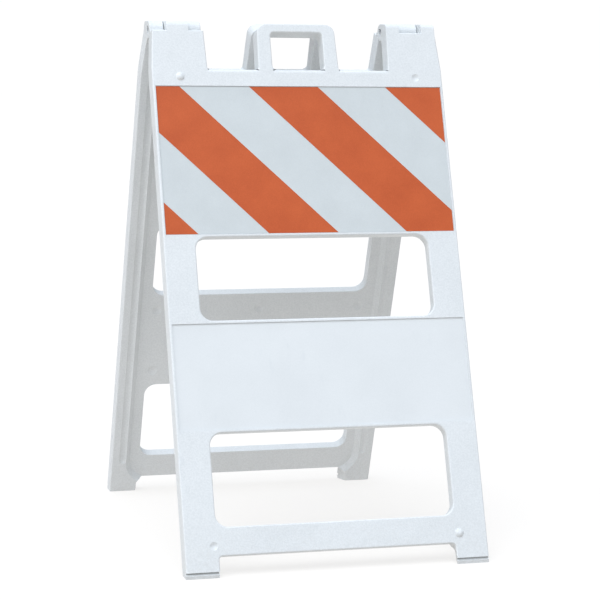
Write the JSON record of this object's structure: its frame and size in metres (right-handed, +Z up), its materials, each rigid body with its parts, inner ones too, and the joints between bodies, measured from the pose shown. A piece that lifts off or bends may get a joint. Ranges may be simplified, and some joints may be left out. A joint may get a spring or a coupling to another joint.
{
  "type": "folding barricade",
  "caption": "Free-standing folding A-frame traffic barricade: two hinged white plastic leaves with carrying handles, windows and orange-striped sheeting.",
  "frame": {"origin": "centre of the four feet's footprint, on the ground", "axes": "+Z up, +X along the hinge axis to the right as seen from the front leaf's side, -Y out of the front leaf"},
  "size_m": [0.6096, 0.8272, 1.0499],
  "materials": {
    "white_plastic": "fine moulded grain",
    "white_sheeting": "reflective film",
    "orange_sheeting": "reflective film",
    "zinc_steel": "zinc plated"
  },
  "bodies": {
    "front_leaf": {"front_panel": "white_plastic", "front_sheeting": "white_sheeting", "front_orange_stripes": "orange_sheeting", "right_hinge_pin": "zinc_steel", "right_pin_retainer": "zinc_steel"},
    "rear_leaf": {"rear_panel": "white_plastic", "rear_sheeting": "white_sheeting", "rear_orange_stripes": "orange_sheeting", "left_hinge_pin": "zinc_steel", "left_pin_retainer": "zinc_steel"}
  },
  "joints": [
    {"name": "fold", "type": "hinge", "parent": "front_leaf", "child": "rear_leaf", "pos_m": [0, 0, 1.03237], "axis": [1, 0, 0], "range_deg": [-40, 0]}
  ]
}
